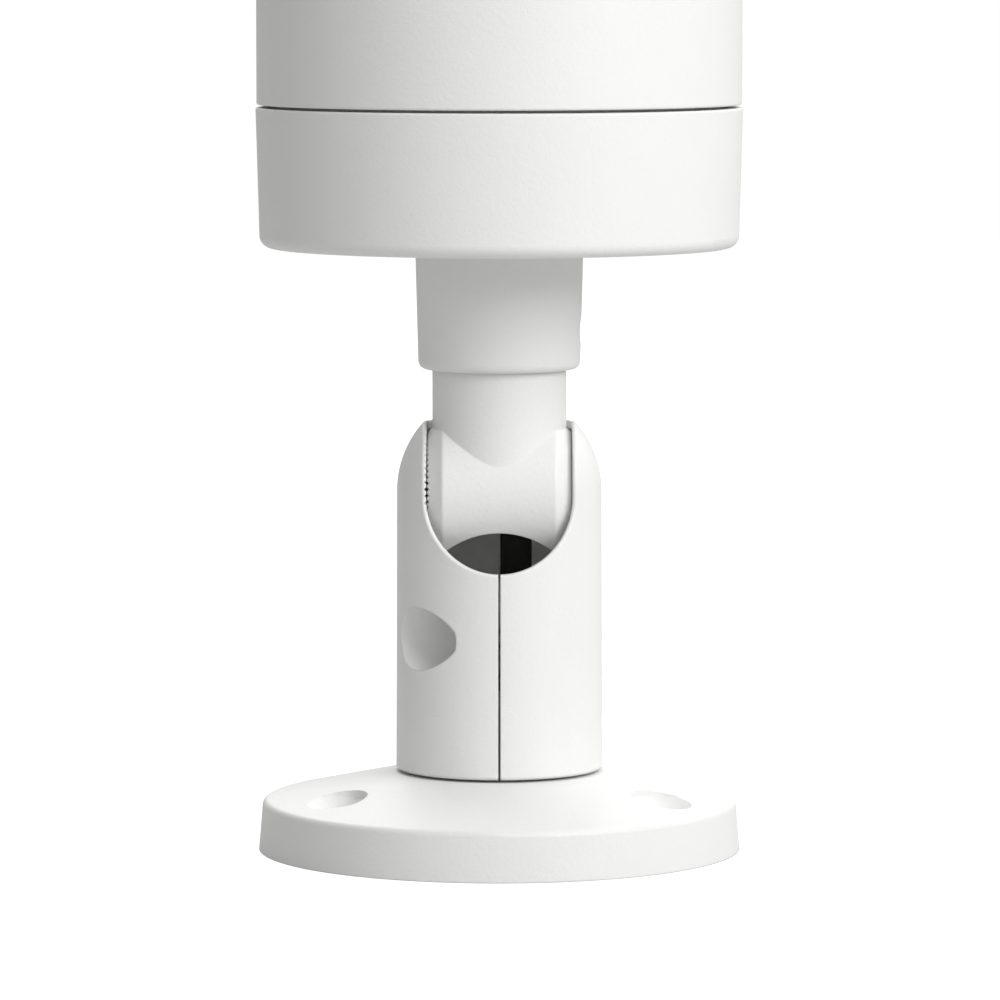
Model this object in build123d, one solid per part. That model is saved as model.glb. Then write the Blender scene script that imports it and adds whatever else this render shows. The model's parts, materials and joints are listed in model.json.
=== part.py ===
from build123d import *
import os

# Security camera on a swivelling stand: the barrel stands straight up over its stand, as it
# does before it is aimed. Millimetres. The origin is the centre of the base's bottom face,
# +Z points up along the barrel, and the open side of the tilt joint faces -Y.
# Bodies that move: the column pans on the base, the knuckle tilts in the column, and the
# camera turns on the knuckle's shaft.

# ---- clearances ----
RUNNING = 0.05          # radial play of a shaft in its own bore
FREE = 0.3              # gap between pieces that pass each other
OVERCUT = 1.0           # how far a cutting tool stands out of the face that it cuts

# ---- base ----
BASE_R = 35.0
BASE_TOP_R = 34.4       # the cast wall leans in towards its top
BASE_WALL_TOP = 7.2
BASE_EDGE = 1.0
SEAT_R = 15.3           # flat seat under the column
SEAT_Z = 11.4
UNDERSIDE_IN = 13.0     # hollow cast into the underside
UNDERSIDE_OUT = 30.5
UNDERSIDE_DEPTH = 3.0
GASKET_IN = 32.0
GASKET_OUT = 34.0
GASKET_DEPTH = 1.2
SCREW_CIRCLE_R = 27.3   # the three wall screws
SCREW_ANGLES = (-150, -30, 90)
SCREW_HOLE_R = 2.25
SCREW_SINK_R = 4.7
SCREW_BOSS_R = 5.6
HUB_R = 9.5             # upright hub that the column turns on
HUB_FOOT_R = 12.0       # the hub's foot is pressed into the base plate
HUB_FLANGE_R = 11.4
HUB_FLANGE_LOW = 21.9
HUB_TOP = 24.3
CABLE_BORE_R = 6.0

# ---- column ----
COLUMN_FOOT_Z = 11.8
COLUMN_FOOT_R = 15.0
FOOT_CHAMFER = 0.3
DOME_R = 14.85
HINGE_Z = 52.2          # height of the tilt axis, which runs along X
SPLIT_GAP = 0.3
SWEEP_R = 10.5          # half-width of the slot that the shaft tilts through
EAR_X = 10.5            # inner faces of the two ears
NOTCH_DROP = 0.35       # how far the notch's centre is under the tilt axis
CAVITY_R = 13.75        # round space that the knuckle's drum turns in
CAVITY_FLOOR = 38.45
CAVITY_BACK_R = 12.6    # the wall is thicker towards the back
EDGE_ROUND = 0.35       # rounded edge of the tilt slot
LAP_R = 13.2            # behind the split, the left half laps over to close it
LAP_FRONT_Y = 4.0
COLUMN_BORE_R = 5.8
COLUMN_BORE_TOP = 41.0  # inside the round space, so the cable's way is open
CABLE_SLOT_X = 4.7
CABLE_SLOT_Y = (-4.0, 13.4)
TOOTH_COUNT = 60
TOOTH_SIDE = 0.42       # side of the square section that cuts each V groove
TOOTH_IN = 5.6
TOOTH_OUT = 10.1

# ---- clamp screw ----
CLAMP_Y = -9.05
CLAMP_Z = 31.6
CLAMP_POCKET_R = 4.55
CLAMP_POCKET_X = -6.2
CLAMP_HEAD_R = 2.75
CLAMP_HEAD_X = (-6.0, -3.0)
CLAMP_THREAD_R = 1.5
CLAMP_END_X = 8.5
CLAMP_KEY = 2.5         # across the flats of the hex key
SCREW_PLAY = 0.2        # round a screw in its clearance hole

# ---- pan lock screw ----
PAN_LOCK_Z = 18.8
PAN_LOCK_R = 1.5
PAN_LOCK_X = (9.85, 13.6)
PAN_LOCK_KEY = 1.5

# ---- knuckle ----
DRUM_R = 10.6           # drum between the ears, its rims coned to turn in the column's cavity
DRUM_X = 8.2
DRUM_RIM_R = 8.45
DRUM_CREASE = 0.5
FLANK_X = 10.4          # flat sides of the drum, a sliding fit between the ears
TRUNNION_R = 4.0
TRUNNION_X = 12.7
ARCH_R = 11.9           # round relief under the drum, for the cable
ARCH_TOP = 5.4          # how far under the tilt axis the relief's top is
SHAFT_R = 9.7
SHOULDER_Z = 71.5
SPINDLE_R = 8.2
SPINDLE_TOP = 93.0
SHAFT_BORE_R = 5.2
NECK_RING_Z = (78.5, 80.7)
NECK_RING_R = 6.9
CLIP_Z = (90.4, 91.4)
CLIP_R = (7.4, 10.4)
CLIP_GAP = 4.0
CLIP_PLAY = 0.05        # above and below the clip in its groove
SEAL_BORE_R = 2.6       # the cable passes the seal here
SEAL_DEPTH = 6.0
SEAL_RIM = 1.2
SEAL_RIM_H = 1.4

# ---- rear cap with its neck ----
NECK_LOW = 69.9
NECK_LOW_R = 11.7
NECK_HIGH_R = 12.15
NECK_MOUTH_R = 10.0
NECK_LEDGE_Z = 71.8
NECK_FLANGE_R = 16.0    # the neck's flange, flush in the cap's floor
CAP_LOW = 87.5
CAP_LOW_R = 34.6
CAP_HIGH = 107.7
CAP_HIGH_R = 35.15
CAP_FLOOR = 90.1
CAP_BORE_R = 29.5
SPIGOT_TOP = 115.0
NECK_LOCK_Z = 75.7
NECK_LOCK_R = 2.2
NECK_LOCK_X = (8.6, 11.0)
NECK_LOCK_KEY = 2.0
NECK_LOW_ROUND = 1.2
NECK_HIGH_ROUND = 1.5   # hollow fillet between the neck and the cap
CAP_LOW_ROUND = 1.8
CAP_HIGH_ROUND = 0.3

# ---- barrel and front ----
BARREL_R = 35.0
BARREL_BORE_R = 32.5
BARREL_LOW = 108.1
BARREL_HIGH = 227.0
SEAL_IN = 31.2
REAR_SEAL_Z = (110.4, 112.2)
FRONT_SEAL_Z = (221.2, 223.0)
FRONT_SEAL_IN = 31.5
BARREL_ROUND = 0.3
BEZEL_LOW = 227.4
BEZEL_HIGH = 238.0
BEZEL_TAIL = 218.5
BEZEL_BORE_R = 30.6
BEZEL_LIP_R = 27.5
BEZEL_LIP_Z = 236.4
BEZEL_TAIL_IN = 30.8
BEZEL_ROUND = 1.5
BEZEL_LIP_SLOPE = 1.2
BEZEL_STEP = 2.0
WINDOW_R = 30.5
WINDOW_Z = (233.0, 236.0)
RETAINER_Z = (230.6, 233.0)
RETAINER_IN = 28.8
SPANNER_SLOTS = 4
SPANNER_SLOT_IN = 31.0
SPANNER_SLOT_HALF = 1.6
SPANNER_SLOT_DEPTH = 2.2
WINDOW_GASKET_IN = 28.1

# ---- sun shield ----
SHIELD_IN = 36.2
SHIELD_OUT = 37.7
SHIELD_ARC = (-8, 188)
SHIELD_LOW = 138.0
SHIELD_HIGH = 254.0
SHIELD_RAKE = 12.0      # slant of the shield's front edge, in degrees
SHIELD_SCREW_Z = 196.0
SHIELD_TRAVEL = 8.0     # each way from the middle of its slot
SHIELD_SCREW_R = 2.0
RAIL_X = 4.0
RAIL_R = 35.9
RAIL_Z = (146.0, 224.0)
SHIELD_BOSS_Y = 28.5    # inner end of the boss that holds the shield's screw
SHIELD_SLOT_PLAY = 0.25
SHIELD_HEAD_R = 4.0
SHIELD_HEAD_H = 2.4
SHIELD_HEAD_GAP = 0.4
SHIELD_SCREW_Y = 30.5   # end of the screw's thread
SHIELD_KEY = 2.5

# ---- service cover on the camera's underside ----
COVER_X = 13.0
COVER_Z = (148.0, 180.0)
COVER_SEAT_R = 33.8
COVER_PLAY = 0.15
HATCH_X = 9.0
HATCH_Z = (154.0, 174.0)
COVER_SCREWS_Z = (151.0, 177.0)
COVER_SCREW_R = 1.25
COVER_SCREW_HEAD_R = 2.4
COVER_GASKET_R = 33.4
COVER_SCREW_SHANK = 2.0
COVER_SCREW_CONE = 3.1  # height at which the countersunk head is widest
COVER_SCREW_TOP = 3.3
COVER_SCREW_KEY = 1.5
COVER_SCREW_Y = -31.6

# ---- boards inside the barrel ----
BOARD_T = 1.6
BOARD_R = 30.0
CHASSIS_Z = (118.0, 120.5)
POWER_BOARD_Z = 126.0
MAIN_BOARD_Z = 142.0
SENSOR_BOARD_Z = 186.0
LED_BOARD_Z = 222.0
PILLAR_X = 21.0
PILLAR_Y = 13.0
PILLAR_R = 2.6
LED_PILLAR_CIRCLE = 25.5
LED_CIRCLE = 20.5
LED_COUNT = 18
LED_R = 2.5
LED_FLANGE_R = 2.9
SIDE_BOARD_Y = (-25.2, -24.0)
SIDE_BOARD_TOP = 180.0
CHASSIS_BORE_R = 9.0
VENT_R = 3.5            # six openings for the cable and the air
VENT_CIRCLE = 26.0
BOARD_FLAT_Y = 24.0     # flat edge of the two round boards at the back
BOARD_SCREW_R = 2.3
BOARD_SCREW_RIM = 0.8
BOARD_SCREW_H = 1.8
BOARD_SCREW_SLOT = 0.3

# ---- parts on the power and main boards: X, Y and height above the board ----
COIL = ((-9, 7), (-18, -4), 9.0)
RELAY = ((6, 16), (4, 14), 6.0)
CAPACITORS = ((-14, 6), (-4, 8))
CAPACITOR_R = 4.0
CAPACITOR_H = 10.0
REAR_CONNECTOR = ((-7, 7), (14, 20), 7.0)
PROCESSOR = ((-7, 7), (-5, 9), 1.4)
MEMORY_CHIP = ((-17, -9), (-4, 8), 1.1)
SWITCH_CHIP = ((9, 17), (-4, 4), 1.1)
PAD_T = 0.8
SINK_X = (-9, 9)
SINK_Y = (-7, 11)
SINK_PLATE = 2.0
FIN_COUNT = 6
FIN_PITCH = 3.3
FIN_T = 1.5
FIN_H = 9.0

# ---- card socket and reset switch on the service board ----
SIDE_BOARD_X = 11.0
SOCKET_X = 8.0
SOCKET_Z = (153.0, 168.0)
SOCKET_H = 1.9
CARD_X = 5.5
CARD_Y = (1.3, 0.3)     # the card's faces, measured out from the board
CARD_Z = (154.7, 169.7)
CARD_PLAY = (0.25, 0.05, 0.2)
SWITCH_X = 3.0
SWITCH_Z = 174.6
SWITCH_H = 2.6
BUTTON_R = 1.7
BUTTON_LOW = 1.7        # the button's ends, measured out from the board
BUTTON_HIGH = 4.2
BUTTON_WELL = 1.2

# ---- lens ----
HOLDER_HALF = 11.0
HOLDER_TOP = 200.0
LENS_THREAD_R = 6.0
LENS_LOW = 194.5
LENS_BODY_R = 8.6
LENS_BODY_LOW = 200.6
LENS_TOP = 224.5
HOOD_R = (9.8, 12.2)
HOOD_LOW = 218.0
FILTER_Z = (190.4, 192.0)
FILTER_HALF_Y = 4.6
FILTER_X = (-4.8, 4.8)
FILTER_GLASS_HALF = 3.6
FILTER_GLASS_SINK = 0.4
FILTER_PLAY = 0.35
SENSOR_HALF = (5.0, 4.0)
SENSOR_H = 1.5
SENSOR_WELL_HALF = (6.5, 5.5)
SENSOR_WELL_H = 2.4
MOTOR_X = 8.0
MOTOR_Y = (9.4, 17.0)
MOTOR_H = 8.0
LENS_BORE_R = 4.2
LENS_MOUTH_R = 7.4
LENS_SEAT_R = 5.4
LENS_SEAT_DEPTH = 4.0
KNURL_COUNT = 24
KNURL_DEPTH = 0.3
KNURL_HALF = 0.3
KNURL_Z = (202.6, 209.6)
FRONT_LENS_R = 5.35
FRONT_LENS_H = 3.4
FRONT_LENS_EDGE = 0.8
FRONT_LENS_DOME_R = 9.0
REAR_LENS_R = 4.15
REAR_LENS_Z = (195.1, 198.1)

# ---- infrared light ----
LED_FIRST = 10.0        # angle of the first diode
LED_FLANGE_H = 0.9
LED_BODY_H = 3.6
LED_BOARD_OUT = 28.4
LED_BOARD_IN = 12.4
EYE_R = 1.6             # light sensor
EYE_H = 2.0
EYE_Y = -26.0
POST_R = 1.8

os.makedirs("parts", exist_ok=True)


# ---- simple solids ----

def save(name, *solids):
    """Writes one node; several solids stay separate in one compound."""
    shape = solids[0] if len(solids) == 1 else Compound(children=list(solids))
    shape.label = name
    export_step(shape, f"parts/{name}.step")


def bar(radius, low, high, x=0.0, y=0.0):
    """A round bar along Z between two heights."""
    return Pos(x, y, (low + high) / 2) * Cylinder(radius, high - low)


def cross_bar(radius, low, high, y, z):
    """A round bar along X."""
    return Pos((low + high) / 2, y, z) * Rot(0, 90, 0) * Cylinder(radius, high - low)


def front_bar(radius, low, high, x, z):
    """A round bar along Y."""
    return Pos(x, (low + high) / 2, z) * Rot(90, 0, 0) * Cylinder(radius, high - low)


def block(xs, ys, zs):
    """A rectangular block between pairs of X, Y and Z."""
    middle = [(low + high) / 2 for low, high in (xs, ys, zs)]
    size = [high - low for low, high in (xs, ys, zs)]
    return Pos(*middle) * Box(*size)


def ring(outer, inner, low, high, x=0.0, y=0.0):
    """A flat-ended ring about Z."""
    return bar(outer, low, high, x, y) - bar(inner, low - OVERCUT, high + OVERCUT, x, y)


def sector(inner, outer, low, high, start, end):
    """A curved plate: the part of a ring between two angles from +X."""
    middle = Pos((inner + outer) / 2, 0, (low + high) / 2)
    section = middle * Rot(90, 0, 0) * Rectangle(outer - inner, high - low)
    return Rot(0, 0, start) * revolve(section, Axis.Z, revolution_arc=end - start)


def turned(points, rounds=()):
    """A solid of revolution from (radius, height) points; rounds are (point number, radius)."""
    outline = make_face(Polyline(*[(r, 0, z) for r, z in points], close=True))
    for number, radius in rounds:
        r, z = points[number]
        corner = outline.vertices().sort_by_distance((r, 0, z))[0]
        outline = fillet(corner, radius)
    return revolve(outline, Axis.Z)


def around(count, start=0.0):
    """Equal steps of a full turn, in degrees."""
    return [start + 360.0 * step / count for step in range(count)]


def hexagon(across, low, high):
    """A six-sided bar along Z, by the distance across its flats."""
    return Pos(0, 0, low) * extrude(RegularPolygon(across / 2, 6, major_radius=False), high - low)


def set_screw(radius, length, across):
    """A headless screw along +Z from 0, its socket in the top and a cone point below."""
    point = radius * 0.5
    body = turned([(0, 0), (radius - point, 0), (radius, point), (radius, length), (0, length)])
    return body - hexagon(across, length * 0.5, length + OVERCUT)


def cap_screw(thread_r, head_r, head_h, length, across):
    """A socket-head screw along +Z: its thread ends at 0 and its head starts at length."""
    edge = head_r * 0.12
    body = bar(thread_r, 0, length) + turned([(0, length), (head_r, length), (head_r, length + head_h),
                                              (0, length + head_h)], [(2, edge)])
    return body - hexagon(across, length + head_h * 0.4, length + head_h + OVERCUT)


def along_x(solid, x, y, z):
    """Lays a Z-built solid along +X with its start at a point."""
    return Pos(x, y, z) * Rot(0, 90, 0) * solid


def against_x(solid, x, y, z):
    """Lays a Z-built solid along -X with its start at a point."""
    return Pos(x, y, z) * Rot(0, -90, 0) * solid


def along_y(solid, x, y, z):
    """Lays a Z-built solid along +Y with its start at a point."""
    return Pos(x, y, z) * Rot(-90, 0, 0) * solid


def against_y(solid, x, y, z):
    """Lays a Z-built solid along -Y with its start at a point."""
    return Pos(x, y, z) * Rot(90, 0, 0) * solid


# ---- base ----

def base_plate():
    profile = [(HUB_FOOT_R, 0), (BASE_R, 0), (BASE_TOP_R, BASE_WALL_TOP), (SEAT_R, SEAT_Z),
               (HUB_FOOT_R, SEAT_Z)]
    plate = turned(profile, [(2, BASE_EDGE)])
    hollow = ring(UNDERSIDE_OUT, UNDERSIDE_IN, -OVERCUT, UNDERSIDE_DEPTH)
    gasket_groove = ring(GASKET_OUT, GASKET_IN, -OVERCUT, GASKET_DEPTH)
    places = [Rot(0, 0, angle) * Pos(SCREW_CIRCLE_R, 0, 0) for angle in SCREW_ANGLES]
    for place in places:
        hollow -= place * bar(SCREW_BOSS_R, -2 * OVERCUT, UNDERSIDE_DEPTH + OVERCUT)
    plate = plate - hollow - gasket_groove
    cone_rise = (SEAT_Z - BASE_WALL_TOP) / (BASE_TOP_R - SEAT_R)
    rim_z = BASE_WALL_TOP + (BASE_TOP_R - SCREW_CIRCLE_R) * cone_rise
    sink = SCREW_SINK_R - SCREW_HOLE_R
    for place in places:
        countersink = turned([(0, rim_z - sink), (SCREW_HOLE_R, rim_z - sink), (SCREW_SINK_R, rim_z),
                              (SCREW_SINK_R, rim_z + 3 * OVERCUT), (0, rim_z + 3 * OVERCUT)])
        plate -= place * bar(SCREW_HOLE_R, -OVERCUT, rim_z)
        plate -= place * countersink
    return plate


def pan_hub():
    return turned([(CABLE_BORE_R, 0), (HUB_FOOT_R, 0), (HUB_FOOT_R, SEAT_Z), (HUB_R, SEAT_Z),
                   (HUB_R, HUB_FLANGE_LOW), (HUB_FLANGE_R, HUB_FLANGE_LOW), (HUB_FLANGE_R, HUB_TOP),
                   (CABLE_BORE_R, HUB_TOP)])


def base():
    save("base_plate", base_plate())
    save("pan_hub", pan_hub())
    save("base_gasket", ring(GASKET_OUT, GASKET_IN, 0, GASKET_DEPTH))


# ---- column ----

def teeth(face_x, inner, outer):
    """Radial V-groove cutters about the tilt axis, in the plane of one flat face."""
    groove = Pos(face_x, 0, (inner + outer) / 2) * Rot(0, 0, 45) * Box(TOOTH_SIDE, TOOTH_SIDE, outer - inner)
    return [Pos(0, 0, HINGE_Z) * Rot(angle, 0, 0) * groove for angle in around(TOOTH_COUNT)]


def column_blank():
    """The whole column before it is split: shank and dome, less its inner spaces."""
    shank = Pos(0, 0, (COLUMN_FOOT_Z + HINGE_Z) / 2) * Cone(COLUMN_FOOT_R, DOME_R, HINGE_Z - COLUMN_FOOT_Z)
    blank = shank + Pos(0, 0, HINGE_Z) * Sphere(DOME_R)
    foot_edge = blank.edges().filter_by(GeomType.CIRCLE).sort_by(Axis.Z)[0]
    blank = chamfer(foot_edge, FOOT_CHAMFER)
    far = 2 * DOME_R
    blank -= bar(HUB_R + RUNNING, COLUMN_FOOT_Z - OVERCUT, HUB_FLANGE_LOW)
    blank -= bar(HUB_FLANGE_R + FREE, HUB_FLANGE_LOW - FREE, HUB_TOP + FREE)
    blank -= bar(COLUMN_BORE_R, HUB_TOP, COLUMN_BORE_TOP)
    between_ears = block((-EAR_X, EAR_X), (-far, far), (HINGE_Z - far, HINGE_Z + far))
    blank -= (Pos(0, 0, HINGE_Z) * Sphere(CAVITY_R)) & between_ears
    blank -= bar(CAVITY_BACK_R, CAVITY_FLOOR, HINGE_Z) & between_ears
    blank -= bar(CAVITY_R, CAVITY_FLOOR, HINGE_Z) & block((-EAR_X, EAR_X), (-far, 0), (0, HINGE_Z))
    blank -= cross_bar(TRUNNION_R + RUNNING, -TRUNNION_X - FREE, TRUNNION_X + FREE, 0, HINGE_Z)
    blank -= bar(SWEEP_R, HINGE_Z, HINGE_Z + far)
    blank -= front_bar(SWEEP_R, -far, 0, 0, HINGE_Z - NOTCH_DROP)
    blank -= block((-SWEEP_R, SWEEP_R), (-far, 0), (HINGE_Z - NOTCH_DROP, HINGE_Z + far))
    return blank


def rounded_slot_edges(half):
    """Rounds the outer edge of the tilt slot, where it meets the dome and the shank."""
    notch_low = HINGE_Z - NOTCH_DROP - SWEEP_R
    skin_edges = []
    for edge in half.edges():
        points = [edge @ fraction for fraction in (0.25, 0.5, 0.75)]
        from_axis = [(p.X ** 2 + p.Y ** 2 + max(p.Z - HINGE_Z, 0) ** 2) ** 0.5 for p in points]
        outside = min(from_axis) > DOME_R - RUNNING
        in_slot = all(abs(p.X) < SWEEP_R + RUNNING and p.Z > notch_low - RUNNING for p in points)
        on_split = all(abs(p.X) < SPLIT_GAP for p in points)
        if outside and in_slot and not on_split:
            skin_edges.append(edge)
    return fillet(skin_edges, EDGE_ROUND)


def split_sides():
    """The left and right sides of the split. Towards the back the left side laps over the middle."""
    far = 2 * DOME_R
    left = block((-far, -SPLIT_GAP / 2), (-far, far), (0, HINGE_Z + far))
    right = block((SPLIT_GAP / 2, far), (-far, far), (0, HINGE_Z + far))
    lap = block((-SPLIT_GAP, SPLIT_GAP / 2), (LAP_FRONT_Y, far), (0, HINGE_Z + far))
    return left + (lap & bar(LAP_R, 0, HINGE_Z + far)), right


def column_left_half(blank, side):
    far = 2 * DOME_R
    half = rounded_slot_edges(blank & side)
    half -= cross_bar(CLAMP_POCKET_R, -far, CLAMP_POCKET_X, CLAMP_Y, CLAMP_Z)
    half -= cross_bar(CLAMP_HEAD_R + SCREW_PLAY, CLAMP_POCKET_X - OVERCUT, CLAMP_HEAD_X[1], CLAMP_Y, CLAMP_Z)
    half -= cross_bar(CLAMP_THREAD_R + SCREW_PLAY, CLAMP_HEAD_X[1] - OVERCUT, 0, CLAMP_Y, CLAMP_Z)
    return half - teeth(-EAR_X, TOOTH_IN, TOOTH_OUT)


def column_right_half(blank, side):
    far = 2 * DOME_R
    half = rounded_slot_edges(blank & side)
    half -= block((0, CABLE_SLOT_X), CABLE_SLOT_Y, (CAVITY_FLOOR, HINGE_Z))
    half -= cross_bar(CLAMP_THREAD_R, 0, CLAMP_END_X + FREE, CLAMP_Y, CLAMP_Z)
    return half - cross_bar(PAN_LOCK_R, HUB_R, far, 0, PAN_LOCK_Z)


def column():
    blank = column_blank()
    left, right = split_sides()
    save("column_left_half", column_left_half(blank, left))
    save("column_right_half", column_right_half(blank, right))
    clamp_length = CLAMP_END_X - CLAMP_HEAD_X[1]
    head_height = CLAMP_HEAD_X[1] - CLAMP_HEAD_X[0]
    clamp = cap_screw(CLAMP_THREAD_R - RUNNING, CLAMP_HEAD_R, head_height, clamp_length, CLAMP_KEY)
    save("clamp_screw", against_x(clamp, CLAMP_END_X, CLAMP_Y, CLAMP_Z))
    lock = set_screw(PAN_LOCK_R - RUNNING, PAN_LOCK_X[1] - PAN_LOCK_X[0], PAN_LOCK_KEY)
    save("pan_lock_screw", along_x(lock, PAN_LOCK_X[0], 0, PAN_LOCK_Z))


# ---- knuckle ----

def knuckle_casting():
    drum = turned([(0, -TRUNNION_X), (TRUNNION_R, -TRUNNION_X), (TRUNNION_R, -FLANK_X),
                   (DRUM_RIM_R, -FLANK_X), (DRUM_R, -DRUM_X), (DRUM_R, DRUM_X), (DRUM_RIM_R, FLANK_X),
                   (TRUNNION_R, FLANK_X), (TRUNNION_R, TRUNNION_X), (0, TRUNNION_X)],
                  [(4, DRUM_CREASE), (5, DRUM_CREASE)])
    casting = along_x(drum, 0, 0, HINGE_Z)
    casting += turned([(0, HINGE_Z), (SHAFT_R, HINGE_Z), (SHAFT_R, SHOULDER_Z), (SPINDLE_R, SHOULDER_Z),
                       (SPINDLE_R, SPINDLE_TOP), (0, SPINDLE_TOP)])
    casting -= bar(SHAFT_BORE_R, HINGE_Z - DRUM_R - OVERCUT, SPINDLE_TOP + OVERCUT)
    casting -= front_bar(ARCH_R, -2 * DRUM_R, 2 * DRUM_R, 0, HINGE_Z - ARCH_TOP - ARCH_R)
    casting -= ring(SHAFT_R, NECK_RING_R, *NECK_RING_Z)
    casting -= ring(SHAFT_R, CLIP_R[0], CLIP_Z[0] - CLIP_PLAY, CLIP_Z[1] + CLIP_PLAY)
    return casting - teeth(-FLANK_X, TOOTH_IN, TOOTH_OUT)


def knuckle():
    save("knuckle", knuckle_casting())
    save("neck_o_ring", ring(SPINDLE_R, NECK_RING_R, *NECK_RING_Z))
    clip = ring(CLIP_R[1], CLIP_R[0], *CLIP_Z)
    gap = block((-CLIP_GAP / 2, CLIP_GAP / 2), (0, 2 * CLIP_R[1]), (CLIP_Z[0] - OVERCUT, CLIP_Z[1] + OVERCUT))
    save("retaining_clip", clip - gap)
    rim_r = SHAFT_BORE_R + SEAL_RIM
    rim_top = SPINDLE_TOP + SEAL_RIM_H
    plug = turned([(SEAL_BORE_R, SPINDLE_TOP - SEAL_DEPTH), (SHAFT_BORE_R, SPINDLE_TOP - SEAL_DEPTH),
                   (SHAFT_BORE_R, SPINDLE_TOP), (rim_r, SPINDLE_TOP), (rim_r, rim_top),
                   (SEAL_BORE_R, rim_top)])
    save("cable_seal", plug)


# ---- neck and rear cap ----

def neck_socket():
    profile = [(NECK_MOUTH_R, NECK_LOW), (NECK_LOW_R, NECK_LOW), (NECK_HIGH_R, CAP_LOW),
               (NECK_FLANGE_R, CAP_LOW), (NECK_FLANGE_R, CAP_FLOOR), (SPINDLE_R + RUNNING, CAP_FLOOR),
               (SPINDLE_R + RUNNING, NECK_LEDGE_Z), (NECK_MOUTH_R, NECK_LEDGE_Z)]
    socket = turned(profile, [(1, NECK_LOW_ROUND), (2, NECK_HIGH_ROUND)])
    return socket - cross_bar(NECK_LOCK_R, SPINDLE_R - OVERCUT, BARREL_R, 0, NECK_LOCK_Z)


def rear_cap_casting():
    profile = [(NECK_FLANGE_R, CAP_LOW), (CAP_LOW_R, CAP_LOW), (CAP_HIGH_R, CAP_HIGH),
               (BARREL_BORE_R - RUNNING, CAP_HIGH), (BARREL_BORE_R - RUNNING, SPIGOT_TOP),
               (CAP_BORE_R, SPIGOT_TOP), (CAP_BORE_R, CAP_FLOOR), (NECK_FLANGE_R, CAP_FLOOR)]
    casting = turned(profile, [(1, CAP_LOW_ROUND), (2, CAP_HIGH_ROUND)])
    return casting - ring(BARREL_R, SEAL_IN, *REAR_SEAL_Z)


def rear():
    save("rear_cap", rear_cap_casting())
    save("neck_socket", neck_socket())
    save("rear_seal", ring(BARREL_BORE_R - RUNNING, SEAL_IN, *REAR_SEAL_Z))
    lock = set_screw(NECK_LOCK_R - RUNNING, NECK_LOCK_X[1] - NECK_LOCK_X[0], NECK_LOCK_KEY)
    save("neck_lock_screw", along_x(lock, NECK_LOCK_X[0], 0, NECK_LOCK_Z))


# ---- barrel ----

def barrel_casting():
    barrel = turned([(BARREL_BORE_R, BARREL_LOW), (BARREL_R, BARREL_LOW), (BARREL_R, BARREL_HIGH),
                     (BARREL_BORE_R, BARREL_HIGH)], [(1, BARREL_ROUND), (2, BARREL_ROUND)])
    rail = block((-RAIL_X, RAIL_X), (BARREL_BORE_R, BARREL_R + 2), RAIL_Z)
    barrel += (rail - bar(BARREL_BORE_R + OVERCUT, *RAIL_Z)) & bar(RAIL_R, *RAIL_Z)
    barrel += front_bar(2 * SHIELD_SCREW_R, SHIELD_BOSS_Y, BARREL_BORE_R + OVERCUT, 0, SHIELD_SCREW_Z)
    barrel -= front_bar(SHIELD_SCREW_R, SHIELD_BOSS_Y + OVERCUT, RAIL_R + OVERCUT, 0, SHIELD_SCREW_Z)
    cover_room = block((-COVER_X, COVER_X), (-2 * BARREL_R, 0), COVER_Z)
    barrel -= cover_room & ring(2 * BARREL_R, COVER_GASKET_R, *COVER_Z)
    barrel -= block((-HATCH_X, HATCH_X), (-2 * BARREL_R, 0), HATCH_Z)
    for z in COVER_SCREWS_Z:
        barrel -= front_bar(COVER_SCREW_R, -BARREL_R, -BARREL_BORE_R + 2 * OVERCUT, 0, z)
    return barrel


def barrel():
    save("barrel_housing", barrel_casting())


def service_cover():
    inset = (COVER_X - COVER_PLAY, COVER_Z[0] + COVER_PLAY, COVER_Z[1] - COVER_PLAY)
    room = block((-inset[0], inset[0]), (-2 * BARREL_R, 0), (inset[1], inset[2]))
    cover = room & ring(BARREL_R, COVER_SEAT_R, *COVER_Z)
    gasket = room & ring(COVER_SEAT_R, COVER_GASKET_R, *COVER_Z)
    gasket -= block((-HATCH_X, HATCH_X), (-2 * BARREL_R, 0), HATCH_Z)
    screw = turned([(0, 0), (COVER_SCREW_R, 0), (COVER_SCREW_R, COVER_SCREW_SHANK),
                    (COVER_SCREW_HEAD_R, COVER_SCREW_CONE), (COVER_SCREW_HEAD_R, COVER_SCREW_TOP),
                    (0, COVER_SCREW_TOP)])
    screw -= hexagon(COVER_SCREW_KEY, COVER_SCREW_SHANK + SCREW_PLAY * 2, COVER_SCREW_TOP + OVERCUT)
    sink = turned([(0, -OVERCUT), (COVER_SCREW_R, -OVERCUT), (COVER_SCREW_R, COVER_SCREW_SHANK),
                   (COVER_SCREW_HEAD_R, COVER_SCREW_CONE), (COVER_SCREW_HEAD_R, COVER_SCREW_TOP + OVERCUT),
                   (0, COVER_SCREW_TOP + OVERCUT)])
    screws = []
    for z in COVER_SCREWS_Z:
        screws.append(against_y(screw, 0, COVER_SCREW_Y, z))
        cover -= against_y(sink, 0, COVER_SCREW_Y, z)
        gasket -= against_y(sink, 0, COVER_SCREW_Y, z)
    save("service_cover", cover)
    save("service_cover_gasket", gasket)
    save("service_cover_screws", *screws)


# ---- front end ----

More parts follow.
